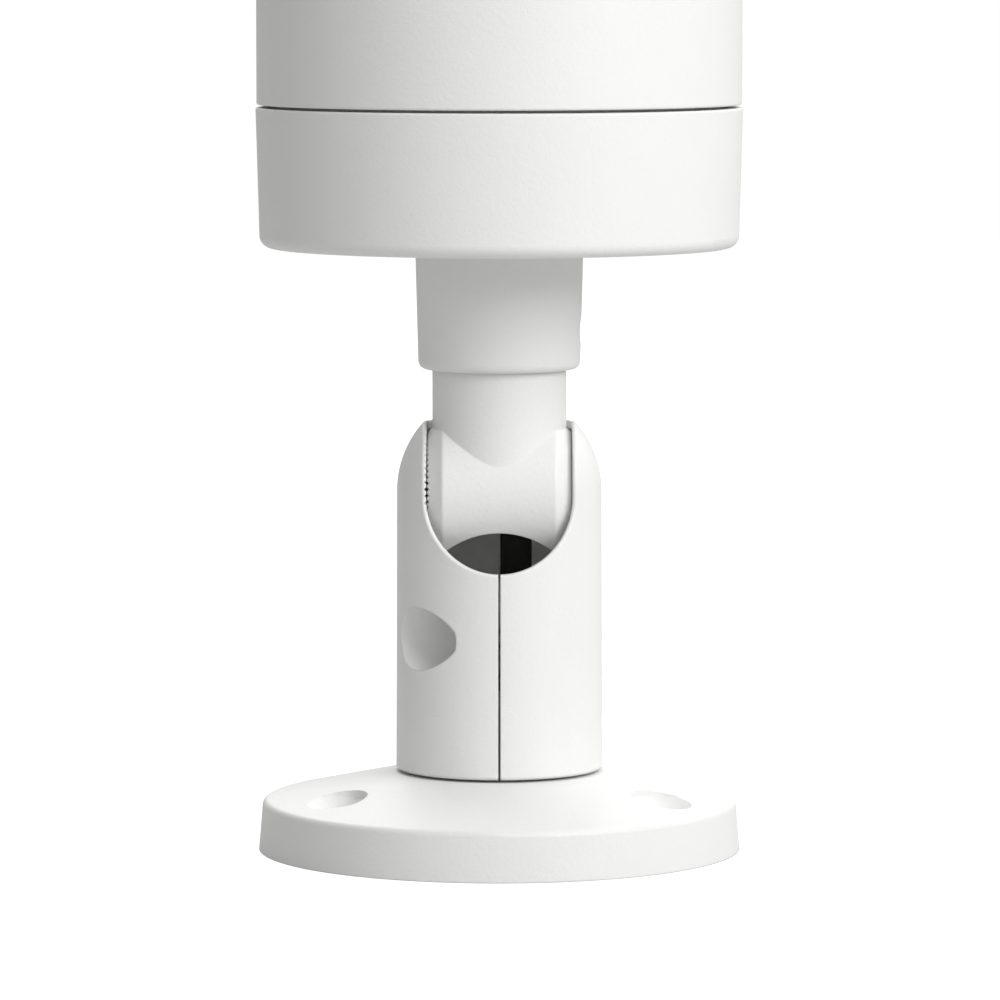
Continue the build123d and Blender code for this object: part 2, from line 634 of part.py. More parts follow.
def bezel_ring():
    profile = [(BEZEL_TAIL_IN, BEZEL_TAIL), (BARREL_BORE_R - RUNNING, BEZEL_TAIL),
               (BARREL_BORE_R - RUNNING, BEZEL_LOW), (BARREL_R, BEZEL_LOW), (BARREL_R, BEZEL_HIGH),
               (BEZEL_LIP_R + BEZEL_LIP_SLOPE, BEZEL_HIGH), (BEZEL_LIP_R, BEZEL_LIP_Z),
               (BEZEL_BORE_R, BEZEL_LIP_Z), (BEZEL_BORE_R, BEZEL_TAIL + BEZEL_STEP)]
    bezel = turned(profile, [(4, BEZEL_ROUND), (3, BARREL_ROUND)])
    bezel -= ring(BARREL_R + OVERCUT, FRONT_SEAL_IN, *FRONT_SEAL_Z)
    for angle in around(SPANNER_SLOTS, 45):
        slot = block((SPANNER_SLOT_IN, BARREL_R + OVERCUT), (-SPANNER_SLOT_HALF, SPANNER_SLOT_HALF),
                     (BEZEL_HIGH - SPANNER_SLOT_DEPTH, BEZEL_HIGH + OVERCUT))
        bezel -= Rot(0, 0, angle) * slot
    return bezel


def front():
    save("front_bezel", bezel_ring())
    save("front_seal", ring(BARREL_BORE_R - RUNNING, FRONT_SEAL_IN, *FRONT_SEAL_Z))
    save("front_window", bar(WINDOW_R, *WINDOW_Z))
    save("window_gasket", ring(WINDOW_R, WINDOW_GASKET_IN, WINDOW_Z[1], BEZEL_LIP_Z))
    save("window_retainer", ring(WINDOW_R, RETAINER_IN, *RETAINER_Z))


# ---- sun shield ----

def shield_plate():
    plate = sector(SHIELD_IN, SHIELD_OUT, SHIELD_LOW, SHIELD_HIGH, *SHIELD_ARC)
    raked_size = (4 * BARREL_R, 8 * BARREL_R, 2 * BARREL_R)
    raked = Pos(0, SHIELD_OUT, SHIELD_HIGH) * Rot(SHIELD_RAKE, 0, 0) * Pos(0, 0, BARREL_R) * Box(*raked_size)
    plate -= raked
    reach = SHIELD_TRAVEL + SHIELD_SCREW_R + FREE
    half = SHIELD_SCREW_R + SHIELD_SLOT_PLAY
    slot_ends = (SHIELD_SCREW_Z - reach + half, SHIELD_SCREW_Z + reach - half)
    plate -= block((-half, half), (0, 2 * BARREL_R), slot_ends)
    for end in slot_ends:
        plate -= front_bar(half, 0, 2 * BARREL_R, 0, end)
    return plate


def sun_shield():
    save("sun_shield", shield_plate())
    length = SHIELD_OUT + SHIELD_HEAD_GAP - SHIELD_SCREW_Y
    screw = cap_screw(SHIELD_SCREW_R - RUNNING, SHIELD_HEAD_R, SHIELD_HEAD_H, length, SHIELD_KEY)
    save("sun_shield_screw", along_y(screw, 0, SHIELD_SCREW_Y, SHIELD_SCREW_Z))


# ---- boards ----

def pillars(low, high):
    """Four hexagonal spacers between two boards."""
    return [Pos(x, y, 0) * hexagon(2 * PILLAR_R, low, high)
            for x in (-PILLAR_X, PILLAR_X) for y in (-PILLAR_Y, PILLAR_Y)]


def on_board(part, top):
    """A rectangular part that stands on a board's top face."""
    xs, ys, height = part
    return block(xs, ys, (top, top + height))


def round_board(low):
    """A round board with a flat edge at the back."""
    board = bar(BOARD_R, low, low + BOARD_T)
    cut = (low - OVERCUT, low + BOARD_T + OVERCUT)
    return board - block((-BOARD_R, BOARD_R), (BOARD_FLAT_Y, 2 * BOARD_R), cut)


def chassis_plate():
    cut = (CHASSIS_Z[0] - OVERCUT, CHASSIS_Z[1] + OVERCUT)
    plate = bar(BARREL_BORE_R - RUNNING, *CHASSIS_Z) - bar(CHASSIS_BORE_R, *cut)
    for angle in around(6, 30):
        plate -= Rot(0, 0, angle) * bar(VENT_R, *cut, VENT_CIRCLE)
    return plate


def heat_sink(low):
    sink = block(SINK_X, SINK_Y, (low, low + SINK_PLATE))
    for step in range(FIN_COUNT):
        x = SINK_X[0] + FIN_PITCH * step
        sink += block((x, x + FIN_T), SINK_Y, (low + SINK_PLATE, low + FIN_H))
    return sink


def boards():
    power_top = POWER_BOARD_Z + BOARD_T
    main_top = MAIN_BOARD_Z + BOARD_T
    sensor_top = SENSOR_BOARD_Z + BOARD_T
    save("chassis_plate", chassis_plate())
    save("power_board", round_board(POWER_BOARD_Z))
    save("main_board", round_board(MAIN_BOARD_Z))
    save("sensor_board", bar(BOARD_R - 1, SENSOR_BOARD_Z, sensor_top))
    spacers = pillars(CHASSIS_Z[1], POWER_BOARD_Z) + pillars(power_top, MAIN_BOARD_Z)
    save("board_pillars", *spacers, *pillars(main_top, SENSOR_BOARD_Z))
    head = turned([(0, 0), (BOARD_SCREW_R, 0), (BOARD_SCREW_R, BOARD_SCREW_RIM), (0, BOARD_SCREW_H)])
    head -= block((-BOARD_SCREW_SLOT, BOARD_SCREW_SLOT), (-2 * BOARD_SCREW_R, 2 * BOARD_SCREW_R),
                  (BOARD_SCREW_RIM + SCREW_PLAY, 2 * BOARD_SCREW_H))
    save("board_screws", *[Pos(x, y, sensor_top) * head
                           for x in (-PILLAR_X, PILLAR_X) for y in (-PILLAR_Y, PILLAR_Y)])
    cans = [bar(CAPACITOR_R, power_top, power_top + CAPACITOR_H, x, y) for x, y in CAPACITORS]
    save("power_parts", on_board(COIL, power_top), *cans, on_board(RELAY, power_top))
    save("rear_connector", on_board(REAR_CONNECTOR, power_top))
    save("processor_chips", *[on_board(chip, main_top) for chip in (PROCESSOR, MEMORY_CHIP, SWITCH_CHIP)])
    pad_low = main_top + PROCESSOR[2]
    save("thermal_pad", block(PROCESSOR[0], PROCESSOR[1], (pad_low, pad_low + PAD_T)))
    save("heat_sink", heat_sink(pad_low + PAD_T))


def service_board():
    top = MAIN_BOARD_Z + BOARD_T
    face = SIDE_BOARD_Y[0]
    save("service_board", block((-SIDE_BOARD_X, SIDE_BOARD_X), SIDE_BOARD_Y, (top, SIDE_BOARD_TOP)))
    side, out, depth = CARD_PLAY
    socket = block((-SOCKET_X, SOCKET_X), (face - SOCKET_H, face), SOCKET_Z)
    socket -= block((-CARD_X - side, CARD_X + side), (face - CARD_Y[0] - out, face - CARD_Y[1] + out),
                    (CARD_Z[0] - depth, SOCKET_Z[1] + OVERCUT))
    save("card_socket", socket)
    save("memory_card", block((-CARD_X, CARD_X), (face - CARD_Y[0], face - CARD_Y[1]), CARD_Z))
    switch = block((-SWITCH_X, SWITCH_X), (face - SWITCH_H, face), (SWITCH_Z - SWITCH_X, SWITCH_Z + SWITCH_X))
    switch -= front_bar(BUTTON_R + RUNNING, face - SWITCH_H - OVERCUT, face - BUTTON_WELL, 0, SWITCH_Z)
    save("reset_switch", switch)
    save("reset_button", front_bar(BUTTON_R, face - BUTTON_HIGH, face - BUTTON_LOW, 0, SWITCH_Z))


# ---- optics ----

def lens_holder(low):
    half_y = HOLDER_HALF - 2
    holder = block((-HOLDER_HALF, HOLDER_HALF), (-half_y, half_y), (low, HOLDER_TOP))
    well_x, well_y = SENSOR_WELL_HALF
    holder -= block((-well_x, well_x), (-well_y, well_y), (low - OVERCUT, low + SENSOR_WELL_H))
    holder -= bar(LENS_THREAD_R + RUNNING, low, HOLDER_TOP + OVERCUT)
    slot_half = FILTER_HALF_Y + FILTER_PLAY
    slot_z = (FILTER_Z[0] - FREE, FILTER_Z[1] + FREE)
    slot_x = (-HOLDER_HALF - OVERCUT, FILTER_X[1] + 2 * FILTER_PLAY)
    return holder - block(slot_x, (-slot_half, slot_half), slot_z)


def lens_barrel():
    seat_z = LENS_TOP - LENS_SEAT_DEPTH
    body = turned([(LENS_BORE_R, LENS_LOW), (LENS_THREAD_R, LENS_LOW), (LENS_THREAD_R, LENS_BODY_LOW),
                   (LENS_BODY_R, LENS_BODY_LOW), (LENS_BODY_R, LENS_TOP), (LENS_MOUTH_R, LENS_TOP),
                   (LENS_SEAT_R, seat_z), (LENS_BORE_R, seat_z)])
    groove = block((LENS_BODY_R - KNURL_DEPTH, LENS_BODY_R + OVERCUT), (-KNURL_HALF, KNURL_HALF), KNURL_Z)
    for angle in around(KNURL_COUNT):
        body -= Rot(0, 0, angle) * groove
    return body


def front_lens():
    low = LENS_TOP - LENS_SEAT_DEPTH
    dome_drop = (FRONT_LENS_DOME_R ** 2 - LENS_SEAT_R ** 2) ** 0.5
    dome = Pos(0, 0, low + FRONT_LENS_EDGE - dome_drop) * Sphere(FRONT_LENS_DOME_R)
    return bar(FRONT_LENS_R, low, low + FRONT_LENS_H) & dome


def lens_parts():
    top = SENSOR_BOARD_Z + BOARD_T
    half_x, half_y = SENSOR_HALF
    save("image_sensor", block((-half_x, half_x), (-half_y, half_y), (top, top + SENSOR_H)))
    save("lens_holder", lens_holder(top))
    glass_side = (-FILTER_GLASS_HALF, FILTER_GLASS_HALF)
    frame_plate = block(FILTER_X, (-FILTER_HALF_Y, FILTER_HALF_Y), FILTER_Z)
    save("filter_frame", frame_plate - block(glass_side, glass_side, FILTER_Z))
    glass_z = (FILTER_Z[0] + FILTER_GLASS_SINK, FILTER_Z[1] - FILTER_GLASS_SINK)
    save("ir_cut_filter", block(glass_side, glass_side, glass_z))
    save("filter_motor", block((-MOTOR_X, MOTOR_X), MOTOR_Y, (top, top + MOTOR_H)))
    save("lens_barrel", lens_barrel())
    save("front_lens", front_lens())
    save("rear_lens", bar(REAR_LENS_R, *REAR_LENS_Z))
    save("light_hood", ring(HOOD_R[1], HOOD_R[0], HOOD_LOW, WINDOW_Z[0]))


def infrared_diode(low):
    diode = bar(LED_FLANGE_R, low, low + LED_FLANGE_H) + bar(LED_R, low, low + LED_BODY_H)
    return diode + Pos(0, 0, low + LED_BODY_H) * Sphere(LED_R)


def lighting():
    top = LED_BOARD_Z + BOARD_T
    save("ir_led_board", ring(LED_BOARD_OUT, LED_BOARD_IN, LED_BOARD_Z, top))
    diode = Pos(LED_CIRCLE, 0, 0) * infrared_diode(top)
    save("ir_leds", *[Rot(0, 0, angle) * diode for angle in around(LED_COUNT, LED_FIRST)])
    save("light_sensor", bar(EYE_R, top, top + EYE_H, 0, EYE_Y))
    low = SENSOR_BOARD_Z + BOARD_T
    post = bar(POST_R, low, LED_BOARD_Z, LED_PILLAR_CIRCLE)
    save("led_board_posts", *[Rot(0, 0, angle) * post for angle in around(3)])


base()
column()
knuckle()
rear()
barrel()
service_cover()
front()
sun_shield()
boards()
service_board()
lens_parts()
lighting()
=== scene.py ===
# %% [markdown]
# # A security camera on a swivelling stand
#
# The camera stands straight up over its stand: a round base, a column cast in two halves, a knuckle that
# tilts between the column's ears, and a barrel that turns on the knuckle's shaft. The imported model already
# holds every part in metres, at its real size. This lesson adds what the parts look like: the powder coat,
# the rubber, the metals and the glass, and the small electronic pieces that show through the front window.

# %% Load the fixed frame
import json
import math
import random

import bmesh
import bpy
from mathutils import Matrix, Vector


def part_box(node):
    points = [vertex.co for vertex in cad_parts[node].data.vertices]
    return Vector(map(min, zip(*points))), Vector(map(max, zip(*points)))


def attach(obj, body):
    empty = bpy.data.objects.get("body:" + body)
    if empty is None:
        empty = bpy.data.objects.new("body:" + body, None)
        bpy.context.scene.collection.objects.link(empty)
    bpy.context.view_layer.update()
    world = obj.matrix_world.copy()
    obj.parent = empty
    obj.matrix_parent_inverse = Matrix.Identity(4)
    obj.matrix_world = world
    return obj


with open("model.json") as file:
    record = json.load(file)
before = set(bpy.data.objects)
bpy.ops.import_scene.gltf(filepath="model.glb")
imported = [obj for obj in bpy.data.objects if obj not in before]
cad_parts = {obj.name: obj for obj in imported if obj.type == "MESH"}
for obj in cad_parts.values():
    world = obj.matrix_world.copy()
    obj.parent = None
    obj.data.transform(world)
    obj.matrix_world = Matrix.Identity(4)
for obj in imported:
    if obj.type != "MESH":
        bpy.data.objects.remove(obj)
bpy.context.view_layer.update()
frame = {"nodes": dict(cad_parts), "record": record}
nodes = frame["nodes"]
print("parts in the frame:", len(nodes))

# %% [markdown]
# Sizes are written in millimetres, as on a drawing, and turned to metres where they are used. Colours are
# written as the hex values of a paint card, and one function turns them to the linear values of light.

# %% Units and colours
MM = 0.001


def linear(hex_colour):
    """A hex colour as the linear red, green, blue and alpha that a shader socket takes."""
    channels = [int(hex_colour[start:start + 2], 16) / 255 for start in (1, 3, 5)]
    curved = [c / 12.92 if c <= 0.04045 else ((c + 0.055) / 1.055) ** 2.4 for c in channels]
    return (*curved, 1.0)


def per_metre(size_mm):
    """The texture scale that gives one feature every size_mm."""
    return 1.0 / (size_mm * MM)


print("a light grey in linear light:", [round(c, 3) for c in linear("#E7E7E6")[:3]])

# %% [markdown]
# ## How a material is written
#
# A material is a small graph of nodes. One helper adds a node, sets its values and makes its links. Five
# more stand on it, for a noise, a change of range, a calculation, rounded edges and a bump, so each
# material below reads as a list of what happens to the surface. All patterns are laid out in object
# coordinates, which here are the real metres of the part, so a pattern keeps its size on every piece.

# %% Helpers for materials
MIX_FACTOR, MIX_FIRST, MIX_SECOND, MIX_COLOUR_OUT = 0, 6, 7, 2


def add_node(material, kind, inputs=None, **settings):
    """Adds a node. Inputs are plain values, or the output sockets of other nodes to link from."""
    tree = material.node_tree
    node = tree.nodes.new(kind)
    for name, value in settings.items():
        setattr(node, name, value)
    for name, value in (inputs or {}).items():
        socket = node.inputs[name]
        if isinstance(value, bpy.types.NodeSocket):
            tree.links.new(value, socket)
        else:
            socket.default_value = value
    return node


def new_material(name):
    """An empty node material, and the object coordinates that its patterns use."""
    material = bpy.data.materials.new(name)
    material.use_nodes = True
    material.node_tree.nodes.clear()
    return material, add_node(material, "ShaderNodeTexCoord").outputs["Object"]


def surface(material, inputs):
    """Ends a material with the physically based shader."""
    skin = add_node(material, "ShaderNodeBsdfPrincipled", inputs)
    add_node(material, "ShaderNodeOutputMaterial", {"Surface": skin.outputs["BSDF"]})
    return material


def mixed_colour(material, factor, first, second):
    """A colour that runs from the first to the second as the factor goes from 0 to 1."""
    mix = add_node(material, "ShaderNodeMix", {MIX_FACTOR: factor, MIX_FIRST: first, MIX_SECOND: second},
                   data_type="RGBA")
    return mix.outputs[MIX_COLOUR_OUT]


def noise(material, place, size_mm, detail=2.0, roughness=0.5):
    """A noise from 0 to 1 with features of about size_mm."""
    inputs = {"Vector": place, "Scale": per_metre(size_mm), "Detail": detail, "Roughness": roughness}
    return add_node(material, "ShaderNodeTexNoise", inputs).outputs["Fac"]


def spread(material, value, low, high, start=0.0, end=1.0):
    """Runs from low to high as the value goes from start to end."""
    inputs = {"Value": value, "From Min": start, "From Max": end, "To Min": low, "To Max": high}
    return add_node(material, "ShaderNodeMapRange", inputs).outputs["Result"]


def calculated(material, operation, *values):
    """The result of one mathematical step on plain values or sockets."""
    step = add_node(material, "ShaderNodeMath", dict(enumerate(values)), operation=operation)
    return step.outputs["Value"]


def rounded_edges(material, radius_mm, samples=4):
    """Normals that bend within radius_mm of an edge."""
    bevel = add_node(material, "ShaderNodeBevel", {"Radius": radius_mm * MM}, samples=samples)
    return bevel.outputs["Normal"]


def bumped(material, height, depth_mm, normal, strength=1.0):
    """Normals tilted by a height pattern that is depth_mm deep, on top of other normals."""
    inputs = {"Height": height, "Distance": depth_mm * MM, "Strength": strength, "Normal": normal}
    return add_node(material, "ShaderNodeBump", inputs).outputs["Normal"]


print("helpers ready")

# %% [markdown]
# ## Powder coat
#
# The castings are sprayed with dry polyester powder and baked. The powder melts into a tough skin that
# rounds every edge, keeps a fine orange peel a little under a millimetre across, and has a finer grain over
# it. Its highlight is soft and wide. The bevel node bends the normals within a third of a millimetre of an
# edge, as the thick skin does, and two bump nodes add the peel and the grain.
#
# The pocket for the cable in the right half of the column is painted near black in place of the coat. This
# is painted shade that stands for the deep shadow inside the pocket.
# The painted shade is laid by a box in object coordinates with edges at the pocket's own walls.

# %% Powder coat
COAT = "#E7E7E6"
COAT_SHADE = "#E4E4E2"
COAT_SPECK = "#B9B9B7"
# painted shade: the near-black colour laid inside the cable pocket in place of its shadow
POCKET_PAINTED_SHADE = "#040404"
PEEL_MM, PEEL_DEPTH_MM = 0.75, 0.06
GRAIN_MM, GRAIN_DEPTH_MM = 0.3, 0.035
CAST_MM = 9.0
COAT_BUMP = 0.65
COAT_EDGE_MM = 0.35


def inside_box(material, place, low_corner, high_corner):
    """1 inside a box given by two corners in millimetres, and 0 outside it."""
    inside = 1.0
    axes = add_node(material, "ShaderNodeSeparateXYZ", {"Vector": place})
    for axis, low, high in zip("XYZ", low_corner, high_corner):
        middle, reach = (low + high) / 2 * MM, (high - low) / 2 * MM
        within = calculated(material, "COMPARE", axes.outputs[axis], middle, reach)
        inside = calculated(material, "MULTIPLY", inside, within)
    return inside


def powder_coat(name, painted_shade_box=None):
    """White powder coat. The optional box is two corners in millimetres, inside which the colour is painted
    near black as shade.
    """
    material, place = new_material(name)
    peel = noise(material, place, PEEL_MM)
    grain = noise(material, place, GRAIN_MM, roughness=0.6)
    cast = noise(material, place, CAST_MM)
    colour = mixed_colour(material, cast, linear(COAT), linear(COAT_SHADE))
    speck = spread(material, grain, 0.0, 0.16, start=0.62, end=0.8)
    colour = mixed_colour(material, speck, colour, linear(COAT_SPECK))
    # inside the box the coat turns near black: painted shade for the dark pocket
    if painted_shade_box:
        inside = inside_box(material, place, *painted_shade_box)
        colour = mixed_colour(material, inside, colour, linear(POCKET_PAINTED_SHADE))
    normal = rounded_edges(material, COAT_EDGE_MM, samples=6)
    normal = bumped(material, peel, PEEL_DEPTH_MM, normal, COAT_BUMP)
    normal = bumped(material, grain, GRAIN_DEPTH_MM, normal, COAT_BUMP)
    rough = spread(material, grain, 0.42, 0.56)
    return surface(material, {"Base Color": colour, "Roughness": rough, "Normal": normal})


# the box, in millimetres, where the pocket's painted shade is laid
CABLE_POCKET = ((-0.2, 4.0, 38.0), (4.75, 14.0, 68.0))
finishes = {"white_coat": powder_coat("white_coat")}
right_half_coat_painted_shade = powder_coat("white_coat_painted_pocket_shade", CABLE_POCKET)
print("made", finishes["white_coat"].name, "and", right_half_coat_painted_shade.name)

# %% [markdown]
# ## Moulded plastics, rubber and black coats
#
# These finishes differ only in their numbers, so they come from one table: two shades that drift into each
# other, the roughness range, the size and depth of the grain, and how far the edges are rounded. Rubber is
# rough with a fine grain, the board's parts are smooth epoxy, and the black anodised lens barrel keeps the
# fine grain of the blasting before its bath.

# %% Table of grained finishes
GRAINED = [
    # name, shade, second shade, roughness range, grain mm, depth mm, edge mm, metallic
    ("seal_rubber", "#17171A", "#1F1F21", (0.62, 0.80), 0.25, 0.020, 0.15, 0.0),
    ("black_metal", "#121214", "#1A1A1C", (0.34, 0.50), 0.12, 0.008, 0.12, 0.6),
    ("chip_plastic", "#1C1C1F", "#252529", (0.38, 0.55), 0.10, 0.006, 0.10, 0.0),
    ("connector_plastic", "#E6DFC9", "#DCD3B8", (0.34, 0.46), 0.40, 0.006, 0.12, 0.0),
    ("thermal_pad", "#8A93A3", "#7C8696", (0.70, 0.85), 0.30, 0.030, 0.20, 0.0),
    ("card_plastic", "#202124", "#28292D", (0.30, 0.42), 0.15, 0.006, 0.08, 0.0),
    ("button_plastic", "#B3241B", "#A01D16", (0.26, 0.36), 0.35, 0.004, 0.15, 0.0),
    ("black_plastic", "#1A1A1B", "#242426", (0.45, 0.62), 0.20, 0.015, 0.15, 0.0),
    ("part_ceramic", "#B08D62", "#9C7A52", (0.45, 0.60), 0.12, 0.004, 0.03, 0.0),
    ("part_black", "#101013", "#1B1B1F", (0.30, 0.45), 0.10, 0.003, 0.03, 0.0),
]


def grained(name, shade, second_shade, rough_range, grain_mm, depth_mm, edge_mm, metallic):
    material, place = new_material(name)
    grain = noise(material, place, grain_mm, detail=3.0)
    drift = noise(material, place, 12 * grain_mm)
    normal = bumped(material, grain, depth_mm, rounded_edges(material, edge_mm))
    colour = mixed_colour(material, drift, linear(shade), linear(second_shade))
    return surface(material, {"Base Color": colour, "Metallic": metallic, "Normal": normal,
                              "Roughness": spread(material, drift, *rough_range)})


for row in GRAINED:
    finishes[row[0]] = grained(*row)
print("grained finishes:", len(GRAINED))

# %% [markdown]
# ## Bare metals
#
# Turned, milled and rolled metal shows the path of its tool as fine parallel lines. A noise that is squeezed
# across the lines and stretched along them gives both the lines' depth and the streaks in their gloss. The
# stretch goes along one axis, so the table also says which way each metal was worked.

# %% Table of worked metals
WORKED = [
    # name, shade, second shade, roughness range, line width mm in X, Y and Z, depth mm
    ("screw_steel", "#B9B9BC", "#9C9CA0", (0.22, 0.38), (0.10, 2.0, 2.0), 0.003),
    ("spring_steel", "#45464A", "#36373A", (0.35, 0.50), (0.5, 0.5, 0.15), 0.003),
    ("bare_aluminium", "#C9CACD", "#B4B5B9", (0.28, 0.44), (6.0, 6.0, 0.12), 0.004),
    ("pillar_brass", "#D8B76A", "#C29E52", (0.20, 0.34), (3.0, 3.0, 0.10), 0.003),
    ("socket_steel", "#BDBEC1", "#A6A7AB", (0.20, 0.32), (0.12, 4.0, 4.0), 0.002),
    ("solder_tin", "#C4C6C9", "#A9ABAF", (0.24, 0.40), (0.2, 0.2, 0.2), 0.003),
    ("gold_pad", "#E0BE5E", "#CBA748", (0.18, 0.30), (0.2, 0.2, 0.2), 0.002),
]


METAL_EDGE_MM = 0.1


def worked_metal(name, shade, second_shade, rough_range, line_mm, depth_mm):
    material, place = new_material(name)
    scale = [per_metre(width) for width in line_mm]
    stretch = add_node(material, "ShaderNodeMapping", {"Vector": place, "Scale": scale})
    noise_inputs = {"Vector": stretch.outputs["Vector"], "Scale": 1.0, "Detail": 3.0}
    lines = add_node(material, "ShaderNodeTexNoise", noise_inputs).outputs["Fac"]
    normal = bumped(material, lines, depth_mm, rounded_edges(material, METAL_EDGE_MM))
    colour = mixed_colour(material, lines, linear(shade), linear(second_shade))
    return surface(material, {"Base Color": colour, "Metallic": 1.0, "Normal": normal,
                              "Roughness": spread(material, lines, *rough_range)})


for row in WORKED:
    finishes[row[0]] = worked_metal(*row)
print("worked metals:", len(WORKED))

# %% [markdown]
# ## Circuit boards
#
# Under the solder mask the copper tracks stand a few hundredths of a millimetre proud, and the mask looks
# lighter over them. Two brick patterns, one of them turned a quarter, draw tracks in both directions. A slow
# noise cuts them off here and there, so they start and stop as on a real board.

# %% Circuit boards
BOARDS = [
    # name, mask over laminate, mask over copper
    ("circuit_board", "#0F3D24", "#1B5A36"),
    ("led_board", "#0E0F10", "#1B1C1E"),
]


TRACK_SETS = [
    # turn in radians, length of a run mm, pitch mm
    (0.0, 7.0, 1.1),
    (math.pi / 2, 5.0, 1.7),
]
TRACK_MM = 0.12
COPPER_MM = 0.035
BLACK, WHITE = (0.0, 0.0, 0.0, 1.0), (1.0, 1.0, 1.0, 1.0)


def board_finish(name, mask, over_copper):
    material, place = new_material(name)
    tracks = 0.0
    for turn, run_mm, pitch_mm in TRACK_SETS:
        turned = add_node(material, "ShaderNodeMapping", {"Vector": place, "Rotation": (0.0, 0.0, turn)})
        across = turned.outputs["Vector"]
        lines = add_node(material, "ShaderNodeTexBrick", {
            "Vector": across, "Scale": 1.0, "Brick Width": run_mm * MM, "Row Height": pitch_mm * MM,
            "Mortar Size": TRACK_MM * MM, "Mortar Smooth": 0.3, "Color1": BLACK, "Color2": BLACK,
            "Mortar": WHITE})
        shown = spread(material, noise(material, across, 11.0), 0.0, 1.0, start=0.46, end=0.50)
        part = calculated(material, "MULTIPLY", lines.outputs["Fac"], shown)
        tracks = calculated(material, "MAXIMUM", tracks, part)
    gloss = spread(material, noise(material, place, 0.5), 0.26, 0.40)
    raised = add_node(material, "ShaderNodeBump", {"Height": tracks, "Distance": COPPER_MM * MM})
    colour = mixed_colour(material, tracks, linear(mask), linear(over_copper))
    return surface(material, {"Base Color": colour, "Roughness": gloss, "Normal": raised.outputs["Normal"]})


for row in BOARDS:
    finishes[row[0]] = board_finish(*row)
print("board finishes:", len(BOARDS))

# %% [markdown]
# ## Glass and clear resin
#
# The window is plain polished glass, the lens glass has a violet anti-reflection coat, the infrared-cut
# filter is cyan, and the diodes are cast in clear resin. Each lets light through and bends it by its own
# index. A faint noise in the roughness stands for the traces that wiping leaves.

# %% Table of clear finishes
CLEAR = [
    # name, tint, index, roughness range, share of light let through, coat
    ("window_glass", "#F2F8F6", 1.52, (0.0, 0.03), 1.0, 0.0),
    ("lens_glass", "#B9AEE0", 1.60, (0.0, 0.02), 0.9, 1.0),
    ("filter_glass", "#8FD6E6", 1.52, (0.0, 0.02), 0.9, 0.6),
    ("sensor_glass", "#25343B", 1.52, (0.04, 0.09), 0.2, 1.0),
    ("led_resin", "#EDEFF2", 1.53, (0.02, 0.06), 1.0, 0.0),
]


WIPING_MM = 6.0


def clear_finish(name, tint, index, rough_range, through, coat):
    material, place = new_material(name)
    rough = spread(material, noise(material, place, WIPING_MM, detail=4.0), *rough_range)
    return surface(material, {"Base Color": linear(tint), "Roughness": rough, "IOR": index,
                              "Transmission Weight": through, "Coat Weight": coat, "Coat Roughness": 0.02})


for row in CLEAR:
    finishes[row[0]] = clear_finish(*row)
print("clear finishes:", len(CLEAR))

# %% [markdown]
# Every part of the frame says which finish it has, so one loop dresses them all. The right half of the
# column gets the coat with painted shade in its cable pocket.

# %% Dress the frame's parts
for part in frame["record"]["subparts"]:
    data = nodes[part["node"]].data
    data.materials.clear()
    data.materials.append(finishes[part["material_slot"]])
# the right half takes the coat with painted shade in its cable pocket
nodes["column_right_half"].data.materials[0] = right_half_coat_painted_shade

# %% [markdown]
# ## Small pieces in mesh code
#
# Three helpers make every small piece: a block with softened edges, a turned form spun from its outline, and
# a last step that merges doubles, turns the normals outward and fixes the piece to its body.

# %% Helpers for small pieces
MERGE_MM = 0.001
CREASE = math.radians(35)


def add_block(mesh, centre, size, edge, turn=0.0, finish=0):
    """A block with rounded edges, in millimetres, turned about Z by an angle in radians."""
    place = Matrix.Translation(Vector(centre) * MM) @ Matrix.Rotation(turn, 4, "Z")
    shape = Matrix.Diagonal((*[side * MM for side in size], 1.0))
    corners = bmesh.ops.create_cube(mesh, size=1.0, matrix=place @ shape)["verts"]
    for face in {face for corner in corners for face in corner.link_faces}:
        face.material_index = finish
    edges = list({line for corner in corners for line in corner.link_edges})
    bmesh.ops.bevel(mesh, geom=edges, offset=edge * MM, offset_type="OFFSET", affect="EDGES", segments=2,
                    profile=0.5, material=-1)


def add_turned(mesh, outline, centre, steps=24, finish=0):
    """A form of revolution about a vertical axis, from (radius, height) points in millimetres."""
    middle = Vector(centre) * MM
    known = set(mesh.faces)
    points = [mesh.verts.new(middle + Vector((radius * MM, 0.0, height * MM))) for radius, height in outline]
    lines = [mesh.edges.new(pair) for pair in zip(points, points[1:])]
    bmesh.ops.spin(mesh, geom=points + lines, cent=middle, axis=(0.0, 0.0, 1.0), angle=2 * math.pi,
                   steps=steps, use_merge=True, use_duplicate=False)
    for face in mesh.faces:
        if face not in known:
            face.material_index = finish


def finish_piece(name, mesh, body, materials):
    """Cleans the mesh, makes the object, gives it its materials and fixes it to its body."""
    bmesh.ops.remove_doubles(mesh, verts=mesh.verts, dist=MERGE_MM * MM)
    bmesh.ops.recalc_face_normals(mesh, faces=mesh.faces)
    for face in mesh.faces:
        face.smooth = True
    data = bpy.data.meshes.new(name)
    mesh.to_mesh(data)
    mesh.free()
    data.set_sharp_from_angle(angle=CREASE)
    for material in materials:
        data.materials.append(finishes[material])
    piece = bpy.data.objects.new(name, data)
    bpy.context.scene.collection.objects.link(piece)
    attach(piece, body)
    print(name, "has", len(data.polygons), "faces")
    return piece


def polar(radius, angle):
    """A point at a radius and an angle in radians."""
    return radius * math.cos(angle), radius * math.sin(angle)


def top_of(node):
    """The height of a part's highest point, in millimetres."""
    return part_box(node)[1][2] / MM


print("the diode board's face is at", round(top_of("ir_led_board"), 2), "mm")

